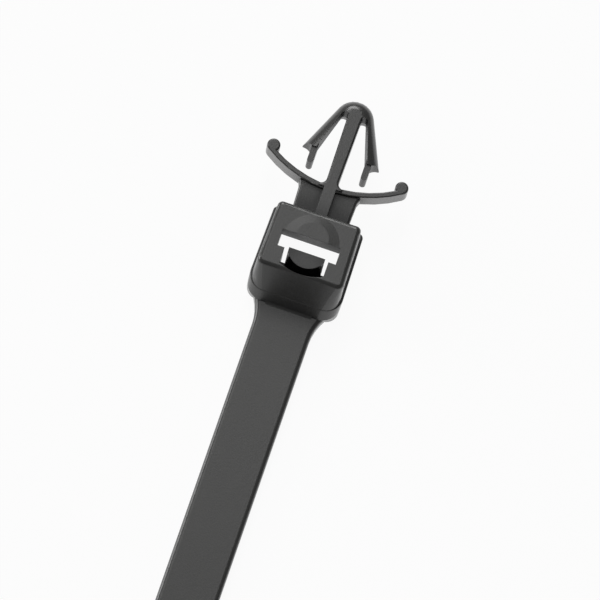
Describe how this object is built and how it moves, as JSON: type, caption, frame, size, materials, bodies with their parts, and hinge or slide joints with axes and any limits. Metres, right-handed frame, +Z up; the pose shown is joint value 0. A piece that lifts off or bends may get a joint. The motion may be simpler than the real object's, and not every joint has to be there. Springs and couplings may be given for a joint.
{
  "type": "fir tree cable tie",
  "caption": "Push-mount cable tie moulded in one piece, with a slotted locking head, two sprung wings and an arrowhead barb that snaps into a round panel hole.",
  "frame": {"origin": "middle of the strap slot, on the head's entry face, which lies on the surface", "axes": "+X across the strap, +Y along the strap towards the barb, +Z up out of the slot's exit side"},
  "size_m": [0.0122, 0.2, 0.005],
  "materials": {
    "nylon": "moulded black nylon with a soft sheen"
  },
  "bodies": {
    "root": {"tie": "nylon"}
  },
  "joints": []
}
